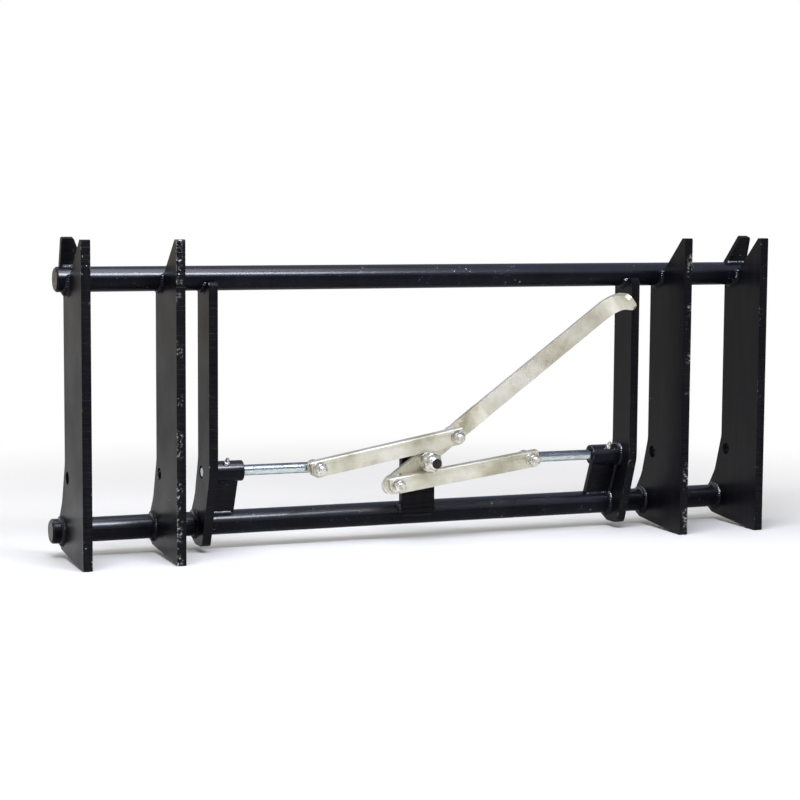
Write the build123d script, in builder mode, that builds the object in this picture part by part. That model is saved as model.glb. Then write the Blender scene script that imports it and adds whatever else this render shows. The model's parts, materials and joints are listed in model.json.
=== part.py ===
import os
from math import atan2, cos, degrees, hypot, radians, sin, sqrt, tan

from build123d import *

os.makedirs("parts", exist_ok=True)

# Quick hitch frame, in millimetres. X runs along the bars, Y to the rear, Z up.
# The origin is the middle of the top bar's axis.

# Round bars
bar_diameter = 40.0
bar_length = 1252.0
bar_chamfer = 3.0
bar_drop = 404.0
bar_setback = 45.0
bar_proud = 19.0
bar_radius = bar_diameter / 2

# Clearances
weld_gap = 0.1
turn_gap = 0.3
run_gap = 0.08

# Side plates and brackets
plate_thickness = 15.0
arm_gap = 135.0
ear_gap = 55.0
plate_reach = 96.0
plate_back = 22.0
sole_below = 44.0
horn_height = 64.0
horn_land = 9.0
horn_slope = 42.4
shoulder = 10.0
saddle_drop = 5.0
flare_above = 112.0
knee_above = 47.0
knee_inset = 2.0
heel_wall = 7.0
heel_rise = 6.0
sole_behind = 5.0
sole_rise = 13.0
flare_round = 40.0
knee_round = 60.0
heel_round = 18.0
toe_round = 3.0
bracket_reach = 39.0
bracket_back = 23.0
nose_below = 33.0
taper_above = 86.0
nose_front = 4.0
nose_inset = 4.0
nose_round = 12.0
bracket_top_round = 8.0

# Corner horns on the ends of the top bar
corner_inset = 7.5
corner_top_width = 19.5
corner_foot_width = 39.5
corner_thickness = 10.0
corner_foot_front = 6.0
corner_lean = 16.0

# Lock pins, their bosses and the plate holes on the same axis
pin_above = 90.0
pin_setback = 5.5
pin_diameter = 18.0
pin_rest = 14.0
pin_chamfer = 2.0
pin_tail = 11.0
tongue_length = 20.0
tongue_thickness = 14.0
plate_hole = 21.0
boss_diameter = 34.0
boss_length = 54.0
gusset_length = 48.0
gusset_thickness = 10.0
nipple_inset = 24.0
nipple_flats = 9.0
nipple_hex_height = 5.0
nipple_height = 13.0
nipple_head_diameter = 6.5
nipple_tilt = 50.0

# Pivot post and the pivot's stack
pivot_rise = 5.0
post_width = 60.0
post_thickness = 12.0
post_ahead = 25.0
post_head = 26.0
post_round = 8.0
stud_diameter = 20.0
stud_tip = 61.0
stud_flats = 30.0
stud_head = 12.5
pivot_nut_height = 16.0
pivot_washer_thickness = 3.0
spacer_diameter = 34.0
spacer_length = 13.7
bush_diameter = 28.0
bush_length = 25.0

# Lever with its rocker, one flat bar
crank_radius = 66.0
crank_angle = 36.0
lever_width = 30.0
lever_thickness = 8.0
rocker_overhang = 20.0
joggle_start = 86.0
joggle_length = 40.0
joggle_depth = 30.0
joggle_lift = 11.0
joggle_round = 14.0
lever_shy = 19.8
handle_depth = 90.0
handle_round = 30.0
handle_tip_round = 13.0
slot_width = 17.6
slot_travel = 14.0

# Links, bent channels open below
link_length = 250.0
link_overhang = 13.0
link_height = 28.0
link_depth = 19.5
link_wall = 4.0
link_bend = 4.0
link_round = 11.0
face_gap = 0.5

# Bolts through the links
bolt_diameter = 12.0
bolt_flats = 18.0
bolt_head = 7.5
bolt_nut = 10.8
bolt_proud = 8.0
washer_thickness = 2.5
washer_diameter = 24.0
wide_washer_diameter = 30.0

# Places worked out from the sizes above
pin_drop = bar_drop - pin_above
flare_drop = bar_drop - flare_above
knee_drop = bar_drop - knee_above
plate_drop = bar_drop + sole_below
bracket_taper_drop = bar_drop - taper_above
bracket_drop = bar_drop + nose_below
knee_back = bar_setback - knee_inset
sole_back = bar_setback + sole_behind
nose_back = bar_setback - nose_inset
post_front = bar_setback - post_ahead
outer_inner = bar_length / 2 - bar_proud - plate_thickness
middle_inner = outer_inner - arm_gap - plate_thickness
bracket_inner = middle_inner - ear_gap - plate_thickness
corner_outer = bar_length / 2 - corner_inset
pin_tip = bracket_inner + pin_rest
pin_centre = (pin_setback, -pin_drop)
bottom_centre = (bar_setback, -bar_drop)
pivot_height = pivot_rise - pin_drop
rocker_back = post_front - spacer_length - turn_gap
rocker_front = rocker_back - lever_thickness
link_back = rocker_front - face_gap
link_front = link_back - link_depth
tongue_front = link_back + face_gap
tongue_back = tongue_front + tongue_thickness
crank_x = crank_radius * cos(radians(crank_angle))
crank_z = crank_radius * sin(radians(crank_angle))
lever_direction = (cos(radians(crank_angle)), 0, sin(radians(crank_angle)))
lever_normal = (sin(radians(crank_angle)), 0, -cos(radians(crank_angle)))
lever_reach = bracket_inner / cos(radians(crank_angle)) - lever_shy
overrun = bar_diameter


# A plane facing the front at a given distance ahead of the origin
def front_plane(y, x=0, z=0):
    return Plane(origin=(x, y, z), x_dir=(1, 0, 0), z_dir=(0, -1, 0))


# Each piece is labelled and written under its own name
def save(piece, name):
    piece.label = name
    export_step(piece, f"parts/{name}.step")


# Where a link's crank bolt and eye bolt stand, seen from the front
def crank_point(side):
    return (-side * crank_x, pivot_height - side * crank_z)


def eye_point(side):
    rise = crank_point(side)[1] + pin_drop
    run = sqrt(link_length**2 - rise**2)
    return (crank_point(side)[0] + side * run, -pin_drop)


# A round bar with both ends chamfered
def round_bar(centre):
    with BuildPart() as bar:
        with BuildSketch(Plane.YZ.offset(-bar_length / 2)):
            with Locations(centre):
                Circle(bar_radius)
        extrude(amount=bar_length)
        chamfer(bar.edges().filter_by(GeomType.CIRCLE), bar_chamfer)
    return bar.part


# The rear edge that plates and brackets share, from the saddle down to the heel
def rear_edge(back):
    heel_back = bar_setback + bar_radius + heel_wall
    points = [
        (back, -saddle_drop),
        (back, -flare_drop),
        (knee_back, -knee_drop),
        (heel_back, -bar_drop + heel_rise),
        (heel_back, -bar_drop - bar_radius),
    ]
    return points, [0, flare_round, knee_round, heel_round, heel_round]


# A plate cut to an outline, with the saddle, the bar's bore and the pin hole
def cut_plate(points, rounds, inner_face, side):
    with BuildPart() as plate:
        with BuildSketch(Plane.YZ.offset(side * inner_face)):
            with BuildLine():
                FilletPolyline(*points, radius=rounds, close=True)
            make_face()
            with Locations((0, 0), bottom_centre):
                Circle(bar_radius + weld_gap, mode=Mode.SUBTRACT)
            with Locations(pin_centre):
                Circle(plate_hole / 2, mode=Mode.SUBTRACT)
        extrude(amount=side * plate_thickness)
    return plate.part


# A side plate rises to a horn in front of the top bar
def side_plate(inner_face, side):
    shoulder_y = bar_radius + shoulder
    slope_run = plate_reach - horn_land - shoulder_y
    shoulder_z = horn_height - slope_run * tan(radians(horn_slope))
    rear_points, rear_rounds = rear_edge(plate_back)
    points = [
        (-plate_reach, horn_height),
        (-plate_reach + horn_land, horn_height),
        (-shoulder_y, shoulder_z),
        *rear_points,
        (sole_back, -plate_drop + sole_rise),
        (-plate_reach, -plate_drop),
    ]
    rounds = [toe_round, toe_round, 0, *rear_rounds, nose_round, toe_round]
    return cut_plate(points, rounds, inner_face, side)


# An inner bracket hangs below the top bar and carries a pin boss
def inner_bracket(side):
    rear_points, rear_rounds = rear_edge(bracket_back)
    points = [
        (-bracket_reach, -saddle_drop),
        *rear_points,
        (nose_back, -bracket_drop),
        (nose_front, -bracket_drop),
        (-bracket_reach, -bracket_taper_drop),
    ]
    rounds = [bracket_top_round, *rear_rounds, nose_round, nose_round, knee_round]
    return cut_plate(points, rounds, bracket_inner, side)


# A leaning horn plate that stands on the top bar's end
def corner_horn(side):
    lean = radians(corner_lean)
    horn_length = (horn_height - bar_radius) / cos(lean)
    foot = corner_thickness / 2
    flare = (corner_foot_width - corner_top_width) / horn_length
    foot_inner = corner_outer - corner_foot_width - flare * foot
    top_inner = corner_outer - corner_top_width
    corners = [
        (side * corner_outer, -foot),
        (side * corner_outer, horn_length),
        (side * top_inner, horn_length),
        (side * foot_inner, -foot),
    ]
    face = Plane(
        origin=(0, -corner_foot_front, bar_radius),
        x_dir=(1, 0, 0),
        z_dir=(0, -cos(lean), -sin(lean)),
    )
    with BuildPart() as horn:
        with BuildSketch(face):
            with BuildLine():
                FilletPolyline(*corners, radius=[0, toe_round, toe_round, 0], close=True)
            make_face()
        extrude(amount=-corner_thickness)
        with BuildSketch(Plane.YZ.offset(-bar_length / 2)):
            Circle(bar_radius + weld_gap)
        extrude(amount=bar_length, mode=Mode.SUBTRACT)
    return horn.part


# A boss welded to the bracket's inner face guides the lock pin
def pin_boss(side):
    with BuildPart() as boss:
        with BuildSketch(Plane.YZ.offset(side * bracket_inner)):
            with Locations(pin_centre):
                Circle(boss_diameter / 2)
                Circle(pin_diameter / 2 + run_gap, mode=Mode.SUBTRACT)
        extrude(amount=-side * boss_length)
    return boss.part


# A web from the bottom bar to the boss, coped to both
def boss_gusset(side):
    rise = bar_drop - pin_drop
    setback = bar_setback - pin_setback
    middle = (pin_setback + setback / 2, -pin_drop - rise / 2)
    with BuildPart() as gusset:
        with BuildSketch(Plane.YZ.offset(side * bracket_inner)):
            with Locations(middle):
                Rectangle(hypot(rise, setback), gusset_thickness, rotation=degrees(atan2(-rise, setback)))
            with Locations(pin_centre):
                Circle(boss_diameter / 2 + weld_gap, mode=Mode.SUBTRACT)
            with Locations(bottom_centre):
                Circle(bar_radius + weld_gap, mode=Mode.SUBTRACT)
        extrude(amount=-side * gusset_length)
    return gusset.part


# A grease nipple on the upper front of the boss
def grease_nipple(side):
    tilt = radians(nipple_tilt)
    reach = boss_diameter / 2 + weld_gap
    seat = Plane(
        origin=(
            side * (bracket_inner - nipple_inset),
            pin_setback - reach * cos(tilt),
            -pin_drop + reach * sin(tilt),
        ),
        x_dir=(1, 0, 0),
        z_dir=(0, -cos(tilt), sin(tilt)),
    )
    with BuildPart() as nipple:
        with BuildSketch(seat):
            RegularPolygon(nipple_flats / 2, 6, major_radius=False)
        extrude(amount=nipple_hex_height)
        with BuildSketch(seat.offset(nipple_hex_height)):
            Circle(nipple_head_diameter / 2)
        extrude(amount=nipple_height - nipple_hex_height)
    return nipple.part


# The post stands on the bottom bar; the spacer in front of it carries the pivot stud
def pivot_post():
    post_top = pivot_height + post_head
    post_height = post_top + bar_drop
    with BuildPart() as post:
        with BuildSketch(front_plane(post_front, z=post_top - post_height / 2)) as face:
            Rectangle(post_width, post_height)
            fillet(face.vertices().group_by(Axis.Y)[-1], post_round)
        extrude(amount=-post_thickness)
        with BuildSketch(front_plane(post_front, z=pivot_height)):
            Circle(spacer_diameter / 2)
        extrude(amount=spacer_length)
        with BuildSketch(front_plane(post_front - spacer_length, z=pivot_height)):
            Circle(stud_diameter / 2 + run_gap)
        extrude(amount=-spacer_length - post_thickness, mode=Mode.SUBTRACT)
        with BuildSketch(Plane.YZ.offset(-post_width)):
            with Locations(bottom_centre):
                Circle(bar_radius + weld_gap)
        extrude(amount=2 * post_width, mode=Mode.SUBTRACT)
    return post.part


# A bolt along Y: a hexagon head at the rear and a plain shank
def bolt(place, head_face, tip, diameter, flats, head_height):
    x, z = place
    with BuildPart() as screw:
        with BuildSketch(front_plane(head_face, x, z)):
            RegularPolygon(flats / 2, 6, major_radius=False)
        extrude(amount=-head_height)
        with BuildSketch(front_plane(head_face, x, z)):
            Circle(diameter / 2)
        extrude(amount=head_face - tip)
    return screw.part


# A link's bolt and the washer under its head
def link_bolt(place, seat, washer_width):
    x, z = place
    head_face = seat + washer_thickness
    with BuildPart() as washer:
        with BuildSketch(front_plane(head_face, x, z)):
            Circle(washer_width / 2)
        extrude(amount=washer_thickness)
    shank = bolt(place, head_face, bolt_tip, bolt_diameter, bolt_flats, bolt_head)
    return shank + washer.part


# A hexagon nut
def nut(place, back, height, bore, flats):
    x, z = place
    with BuildPart() as hexagon:
        with BuildSketch(front_plane(back, x, z)):
            RegularPolygon(flats / 2, 6, major_radius=False)
            Circle(bore / 2 + run_gap, mode=Mode.SUBTRACT)
        extrude(amount=height)
    return hexagon.part


# A link's nut and the washer behind it
def link_nut(place):
    x, z = place
    with BuildPart() as washer:
        with BuildSketch(front_plane(link_front, x, z)):
            Circle(washer_diameter / 2)
            Circle(bolt_diameter / 2 + run_gap, mode=Mode.SUBTRACT)
        extrude(amount=washer_thickness)
    return washer.part + nut(place, link_front - washer_thickness, bolt_nut, bolt_diameter, bolt_flats)


# The lever's flat: wide rocker with the pivot bush, joggled forward past the upper crank bolt
def lever():
    half = lever_width / 2
    tail = crank_radius + rocker_overhang
    joggle_end = joggle_start + joggle_length
    plan = [
        (-tail, half),
        (joggle_start, half),
        (joggle_end, joggle_lift + half),
        (lever_reach, joggle_lift + half),
        (lever_reach, joggle_lift - half),
        (joggle_end, joggle_lift - half),
        (joggle_start, -half),
        (-tail, -half),
    ]
    tail_round = half - weld_gap
    plan_rounds = [tail_round, knee_round, knee_round, 0, 0, knee_round, knee_round, tail_round]
    rocker_line = -(rocker_back + rocker_front) / 2
    arm_line = rocker_line + joggle_depth
    handle_line = lever_reach - lever_thickness / 2
    profile = [
        (-tail, rocker_line),
        (joggle_start, rocker_line),
        (joggle_end, arm_line),
        (handle_line, arm_line),
        (handle_line, handle_depth),
    ]
    edge_on = Plane(origin=(0, 0, pivot_height), x_dir=lever_direction, z_dir=lever_normal)
    flat_on = Plane(origin=(0, 0, pivot_height), x_dir=lever_direction, z_dir=(0, -1, 0))
    with BuildPart() as flat:
        with BuildSketch(edge_on):
            with BuildLine():
                FilletPolyline(*profile, radius=[joggle_round, joggle_round, handle_round])
            trace(line_width=lever_thickness)
        extrude(amount=lever_width + joggle_lift, both=True)
        with BuildSketch(flat_on.offset(-handle_depth)):
            with BuildLine():
                FilletPolyline(*plan, radius=plan_rounds, close=True)
            make_face()
        extrude(amount=2 * handle_depth + overrun, mode=Mode.INTERSECT)
        tip_corners = flat.edges().filter_by(Axis((0, 0, 0), lever_direction)).group_by(Axis.Y)[0]
        fillet(tip_corners, handle_tip_round)
        with BuildSketch(flat_on.offset(-rocker_front)):
            Circle(bush_diameter / 2)
        extrude(amount=bush_length)
        with BuildSketch(flat_on.offset(-rocker_back)):
            Circle(stud_diameter / 2 + run_gap)
        extrude(amount=lever_thickness + bush_length, mode=Mode.SUBTRACT)
        with BuildSketch(flat_on.offset(-rocker_back)):
            with Locations((crank_radius - slot_travel / 2, 0), (slot_travel / 2 - crank_radius, 0)):
                SlotOverall(slot_travel + slot_width, slot_width)
        extrude(amount=lever_thickness, mode=Mode.SUBTRACT)
    return flat.part


# A link is a bent channel, web on top, with a bolt hole at each end
def link(side):
    eye = eye_point(side)
    crank = crank_point(side)
    run = side * (eye[0] - crank[0]) / link_length
    rise = side * (eye[1] - crank[1]) / link_length
    middle = Vector((eye[0] + crank[0]) / 2, link_back, (eye[1] + crank[1]) / 2)
    half_length = link_length / 2 + link_overhang
    half_height = link_height / 2
    right_end = middle + Vector(run, 0, rise) * half_length
    section = Plane(origin=right_end, x_dir=(0, -1, 0), z_dir=(-run, 0, -rise))
    face = Plane(origin=middle, x_dir=(run, 0, rise), z_dir=(0, -1, 0))
    channel_points = [
        (0, -half_height),
        (0, half_height),
        (link_depth, half_height),
        (link_depth, -half_height),
        (link_depth - link_wall, -half_height),
        (link_depth - link_wall, half_height - link_wall),
        (link_wall, half_height - link_wall),
        (link_wall, -half_height),
    ]
    end_points = [
        (-half_length, -half_height),
        (half_length, -half_height),
        (half_length, half_height),
        (-half_length, half_height),
    ]
    with BuildPart() as channel:
        with BuildSketch(section):
            with BuildLine():
                FilletPolyline(
                    *channel_points,
                    radius=[0, link_bend, link_bend, 0, 0, 0, 0, 0],
                    close=True,
                )
            make_face()
        extrude(amount=2 * half_length)
        with BuildSketch(face):
            with BuildLine():
                FilletPolyline(*end_points, radius=[link_round, link_round, 0, 0], close=True)
            make_face()
        extrude(amount=link_depth, mode=Mode.INTERSECT)
        with BuildSketch(face):
            with Locations((link_length / 2, 0), (-link_length / 2, 0)):
                Circle(bolt_diameter / 2 + run_gap)
        extrude(amount=link_depth, mode=Mode.SUBTRACT)
    return channel.part


# A lock pin: a round rod whose inner end is milled to a tongue for the eye bolt
def lock_pin(side):
    eye_x = eye_point(side)[0]
    inner_end = eye_x - side * pin_tail
    pin_length = pin_tip - abs(inner_end)
    tongue_end = eye_x + side * tongue_length
    tongue_run = abs(tongue_end - inner_end)
    with BuildPart() as pin:
        with BuildSketch(Plane.YZ.offset(inner_end)):
            with Locations(pin_centre):
                Circle(pin_diameter / 2)
        extrude(amount=side * pin_length)
        tip_edges = pin.edges().filter_by(GeomType.CIRCLE).sort_by(Axis.X)
        chamfer(tip_edges[-1] if side > 0 else tip_edges[0], pin_chamfer)
        for flat_y, away in ((tongue_front, -1), (tongue_back, 1)):
            with BuildSketch(Plane.YZ.offset(inner_end)):
                with Locations((flat_y + away * pin_diameter / 2, -pin_drop)):
                    Rectangle(pin_diameter, 2 * pin_diameter)
            extrude(amount=side * tongue_run, mode=Mode.SUBTRACT)
        with BuildSketch(front_plane(tongue_back + overrun, eye_x, -pin_drop)):
            Circle(bolt_diameter / 2 + run_gap)
        extrude(amount=2 * overrun, mode=Mode.SUBTRACT)
    return pin.part


# Frame
save(round_bar((0, 0)), "top_bar")
save(round_bar(bottom_centre), "bottom_bar")
save(pivot_post(), "pivot_post")

# Pivot stack
pivot_place = (0, pivot_height)
pivot_seat = rocker_front - bush_length - turn_gap
post_rear = post_front + post_thickness
pivot_nut_depth = pivot_washer_thickness + pivot_nut_height
save(bolt(pivot_place, post_rear, -stud_tip, stud_diameter, stud_flats, stud_head), "pivot_stud")
save(nut(pivot_place, pivot_seat, pivot_nut_depth, stud_diameter, stud_flats), "pivot_nut")
save(lever(), "lever")

# Link bolts clamp the link's front face and turn in the rocker's slot or the pin's tongue
bolt_tip = link_front - washer_thickness - bolt_nut - bolt_proud

for side, hand in ((-1, "left"), (1, "right")):
    save(side_plate(outer_inner, side), f"outer_plate_{hand}")
    save(side_plate(middle_inner, side), f"middle_plate_{hand}")
    save(inner_bracket(side), f"inner_bracket_{hand}")
    save(corner_horn(side), f"corner_horn_{hand}")
    save(boss_gusset(side), f"boss_gusset_{hand}")
    save(link(side), f"link_{hand}")
    save(lock_pin(side), f"lock_pin_{hand}")
    crank_and_eye = (
        (crank_point(side), rocker_back + turn_gap, wide_washer_diameter),
        (eye_point(side), tongue_back + turn_gap, washer_diameter),
    )
    bolts = [link_bolt(place, seat, width) for place, seat, width in crank_and_eye]
    nuts = [link_nut(place) for place, _, _ in crank_and_eye]
    save(Compound(children=bolts), f"link_bolts_{hand}")
    save(Compound(children=nuts), f"link_nuts_{hand}")

save(Compound(children=[pin_boss(-1), pin_boss(1)]), "pin_bosses")
save(Compound(children=[grease_nipple(-1), grease_nipple(1)]), "grease_nipples")
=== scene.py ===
import bpy
import json
import math
import random
from mathutils import Matrix, Vector


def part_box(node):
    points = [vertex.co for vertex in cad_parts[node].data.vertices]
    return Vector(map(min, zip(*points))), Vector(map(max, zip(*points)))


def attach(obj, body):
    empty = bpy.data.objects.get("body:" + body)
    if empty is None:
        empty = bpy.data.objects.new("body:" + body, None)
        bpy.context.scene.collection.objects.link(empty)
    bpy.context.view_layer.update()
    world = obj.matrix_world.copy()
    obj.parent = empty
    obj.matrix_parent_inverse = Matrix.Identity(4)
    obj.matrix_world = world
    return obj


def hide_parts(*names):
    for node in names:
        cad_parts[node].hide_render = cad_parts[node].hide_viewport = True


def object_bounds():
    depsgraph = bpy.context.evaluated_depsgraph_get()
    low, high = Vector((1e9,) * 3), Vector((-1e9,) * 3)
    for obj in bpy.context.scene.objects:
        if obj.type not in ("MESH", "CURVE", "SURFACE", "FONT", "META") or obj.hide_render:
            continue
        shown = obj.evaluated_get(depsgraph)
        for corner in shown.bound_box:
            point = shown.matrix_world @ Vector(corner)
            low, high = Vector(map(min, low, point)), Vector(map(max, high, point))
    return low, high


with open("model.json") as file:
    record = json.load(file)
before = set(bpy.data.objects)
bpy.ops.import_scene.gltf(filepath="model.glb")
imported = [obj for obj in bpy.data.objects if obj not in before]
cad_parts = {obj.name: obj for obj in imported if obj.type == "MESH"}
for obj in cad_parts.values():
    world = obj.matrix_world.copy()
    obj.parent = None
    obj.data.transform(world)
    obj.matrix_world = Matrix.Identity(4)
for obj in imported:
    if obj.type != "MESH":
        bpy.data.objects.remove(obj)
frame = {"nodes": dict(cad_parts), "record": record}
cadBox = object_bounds()
nodes = frame["nodes"]
mm = 0.001
hands = {"left": -1, "right": 1}
linkage = {"leverAngle": 36, "crankRadius": 66, "pivotZ": -309, "pinZ": -314,
           "eyeX": {"left": -192.739, "right": 194.310}}  # mm and degrees, at rest
leverRise = math.radians(linkage["leverAngle"])
print("stage: frame loaded,", len(nodes), "nodes")


# small helpers: colours, ranges and shader nodes
def linear(hexText):  # sRGB to linear
    channels = [int(hexText[i:i + 2], 16) / 255 for i in (1, 3, 5)]
    return [c / 12.92 if c <= 0.04045 else ((c + 0.055) / 1.055) ** 2.4 for c in channels] + [1]


def ramp(levels, tones):  # a colour ramp's stops; a tone is a hex colour or a grey value
    colours = [linear(tone) if isinstance(tone, str) else [tone, tone, tone, 1] for tone in tones]
    return {"stops": list(zip(levels, colours))}


def span(levels, results=(0, 1)):  # between these two levels a value goes from one result to the other
    return {"From Min": levels[0], "From Max": levels[1], "To Min": results[0], "To Max": results[1]}


def metres(sizesInMm):
    return [size * mm for size in sizesInMm]


def perMetre(sizeInMm):  # texture scale for a pattern whose features are this many millimetres
    return 1 / (sizeInMm * mm)


def addNode(tree, kind, settings=None, links=None):  # a setting is a property, a socket or a ramp's stops
    node = tree.nodes.new("ShaderNode" + kind)
    for key, value in (settings or {}).items():
        if key == "stops":
            elements = node.color_ramp.elements
            for element, stop in zip((elements[0], elements[1]), (value[0], value[-1])):
                element.position, element.color = stop
            for position, colour in value[1:-1]:
                elements.new(position).color = colour
        elif isinstance(key, str) and hasattr(node, key):
            setattr(node, key, value)
        else:
            node.inputs[key].default_value = value
    for key, socket in (links or {}).items():
        tree.links.new(socket, node.inputs[key])
    return node


def feed(tree, shader, sources):  # each node's first output goes to the shader's socket of that name
    for socketName, node in sources.items():
        tree.links.new(node.outputs[0], shader.inputs[socketName])


def emptyMaterial(name, settings):
    material = bpy.data.materials.new(name)
    material.use_nodes = True
    tree = material.node_tree
    tree.nodes.clear()
    shader = addNode(tree, "BsdfPrincipled", settings)
    addNode(tree, "OutputMaterial", {}, {"Surface": shader.outputs[0]})
    place = addNode(tree, "TexCoord").outputs["Object"]
    return material, tree, shader, place


# black alkyd enamel, sprayed on hot rolled steel: wet and glossy where it faces up and could level out,
# dry overspray beneath. The eye sees a broken highlight along the top of each bar and near black below,
# with grey steel where edges were knocked bare. Stops are the levels of a pattern where a tone starts
# and where it is full; a fade is how far above its limit a mask is full
enamelLook = {
    "paint": "#0b0b12",
    "thinPaint": "#12121c",
    "dust": "#3a3933",
    "bareSteel": "#c4c4c2",
    "rustySteel": "#5a5048",
    "ior": 1.5,
    "roughness": (0.26, 0.42),
    "mirror": 0.07,  # specular level under the wet gloss, far below the usual 0.5
    "glossFrom": (0.1, 0.34),  # upward share of the normal at which the wet gloss starts and is full
    "wetGloss": 1.0,
    "wetIor": 1.85,  # above the usual 1.5, for the strong broad highlight along the bars
    "wetRoughness": 0.25,
    "peelMm": 4.0,  # real orange peel is nearer 1 mm; drawn coarser so that it shows
    "peelStrength": 0.7,
    "peelDepthMm": 0.12,
    "cloudMm": 90,
    "cloudStops": (0.35, 0.7),
    "streakMm": 14,
    "streakStretch": 0.12,
    "dustShare": 0.06,
    "dustStops": (0.45, 0.75),
    "dragMm": 4.5,  # the torch leaves lines 1 mm apart; drawn coarser so that they show
    "dragStretch": 0.03,
    "dragStrength": 0.0,
    "dragDepthMm": 0.5,
    "cutEdge": (0.7, 0.3),  # sideways share of the normal on a plate's face and on its cut edge
    "edgeMm": 1.8,
    "edgeTurn": (0.985, 0.86),  # how well the rounded normal agrees with the true one, off and on an edge
    "chipMm": 5.0,
    "chipLimit": 0.54,
    "chipFade": 0.05,
    "deepChip": (0.08, 0.12),  # how far above the limit a cut edge is scraped
    "chipStrength": 0.6,
    "chipDepthMm": 0.15,
    "patchMm": 45,
    "patchLimit": 0.55,
    "patchFade": 0.06,
    "endWear": 0.0,
    "plateMiddleMm": -200,
    "plateEndsMm": (160, 250),  # heights above or below the middle
    "wornFromMm": (-20, -10),  # distance from the frame's middle; below 0, so here everything may be worn
    "nickMm": 26,
    "nickReach": (0.05, 0.025),  # shares of nickMm: no nick beyond the first, full within the second
    "steelStops": (0.4, 0.6),
    "sawnDark": "#3f3a35",
    "sawnPale": "#615a52",
    "sawnStops": (0.35, 0.6),
    "sawnFromMm": (625.5, 625.9),  # distance from the frame's middle to the bars' sawn ends
}


def wornPatches(tree, look, place, apart, reach):  # more of them near a plate's top and foot
    patch = addNode(tree, "TexNoise", {"Scale": perMetre(look["patchMm"]), "Detail": 3}, {"Vector": place})
    height = addNode(tree, "Math", {"operation": "SUBTRACT", 1: look["plateMiddleMm"] * mm},
                     {0: apart.outputs["Z"]})
    fromMiddle = addNode(tree, "Math", {"operation": "ABSOLUTE"}, {0: height.outputs[0]})
    endShare = addNode(tree, "MapRange", span(metres(look["plateEndsMm"]), (0, look["endWear"])),
                       {"Value": fromMiddle.outputs[0]})
    patchy = addNode(tree, "Math", {"operation": "ADD"}, {0: patch.outputs["Fac"], 1: endShare.outputs[0]})
    limit = look["patchLimit"]
    patchMask = addNode(tree, "MapRange", span((limit, limit + look["patchFade"])),
                        {"Value": patchy.outputs[0]})
    outward = addNode(tree, "MapRange", span(metres(look["wornFromMm"])), {"Value": reach.outputs[0]})
    return addNode(tree, "Math", {"operation": "MULTIPLY"}, {0: patchMask.outputs[0], 1: outward.outputs[0]})


def bareSteel(tree, look, place, trueNormal, onEdge, patches):
    chips = addNode(tree, "TexNoise", {"Scale": perMetre(look["chipMm"]), "Detail": 8, "Roughness": 0.7},
                    {"Vector": place})
    limit = look["chipLimit"]
    chipMask = addNode(tree, "MapRange", span((limit, limit + look["chipFade"])),
                       {"Value": chips.outputs["Fac"]})
    # knocked edge: where the rounded normal turns away from the true one, broken up by the chips
    rounded = addNode(tree, "Bevel", {"samples": 4, "Radius": look["edgeMm"] * mm})
    agree = addNode(tree, "VectorMath", {"operation": "DOT_PRODUCT"}, {0: rounded.outputs[0], 1: trueNormal})
    edge = addNode(tree, "MapRange", span(look["edgeTurn"]), {"Value": agree.outputs["Value"]})
    knocked = addNode(tree, "Math", {"operation": "MULTIPLY"}, {0: edge.outputs[0], 1: chipMask.outputs[0]})
    # scraped edge: the deepest chips, all over a cut edge
    deepChips = addNode(tree, "MapRange", span([limit + depth for depth in look["deepChip"]]),
                        {"Value": chips.outputs["Fac"]})
    scraped = addNode(tree, "Math", {"operation": "MULTIPLY"},
                      {0: onEdge.outputs[0], 1: deepChips.outputs[0]})
    either = addNode(tree, "Math", {"operation": "MAXIMUM"}, {0: knocked.outputs[0], 1: scraped.outputs[0]})
    worn = addNode(tree, "Math", {"operation": "MULTIPLY"}, {0: either.outputs[0], 1: patches.outputs[0]})
    # stray nicks on the faces, far apart
    nick = addNode(tree, "TexVoronoi", {"Scale": perMetre(look["nickMm"]), "Randomness": 1.0},
                   {"Vector": place})
    nickMask = addNode(tree, "MapRange", span(look["nickReach"]), {"Value": nick.outputs["Distance"]})
    nicked = addNode(tree, "Math", {"operation": "MULTIPLY"},
                     {0: nickMask.outputs[0], 1: chipMask.outputs[0]})
    return addNode(tree, "Math", {"operation": "MAXIMUM"}, {0: worn.outputs[0], 1: nicked.outputs[0]})


def enamelRelief(tree, look, place, peel, onEdge, bare):
    peelSettings = {"Strength": look["peelStrength"], "Distance": look["peelDepthMm"] * mm}
    peelBump = addNode(tree, "Bump", peelSettings, {"Height": peel.outputs["Fac"]})
    # drag lines of the torch run straight through the plate's thickness
    dragPlace = addNode(tree, "Mapping", {"Scale": (look["dragStretch"], 1, 1)}, {"Vector": place})
    drag = addNode(tree, "TexNoise", {"Scale": perMetre(look["dragMm"]), "Detail": 2},
                   {"Vector": dragPlace.outputs[0]})
    dragged = addNode(tree, "Math", {"operation": "MULTIPLY"},
                      {0: drag.outputs["Fac"], 1: onEdge.outputs[0]})
    dragSettings = {"Strength": look["dragStrength"], "Distance": look["dragDepthMm"] * mm}
    dragBump = addNode(tree, "Bump", dragSettings,
                       {"Height": dragged.outputs[0], "Normal": peelBump.outputs[0]})
    chipSettings = {"Strength": look["chipStrength"], "Distance": look["chipDepthMm"] * mm, "invert": True}
    return addNode(tree, "Bump", chipSettings, {"Height": bare.outputs[0], "Normal": dragBump.outputs[0]})


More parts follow.
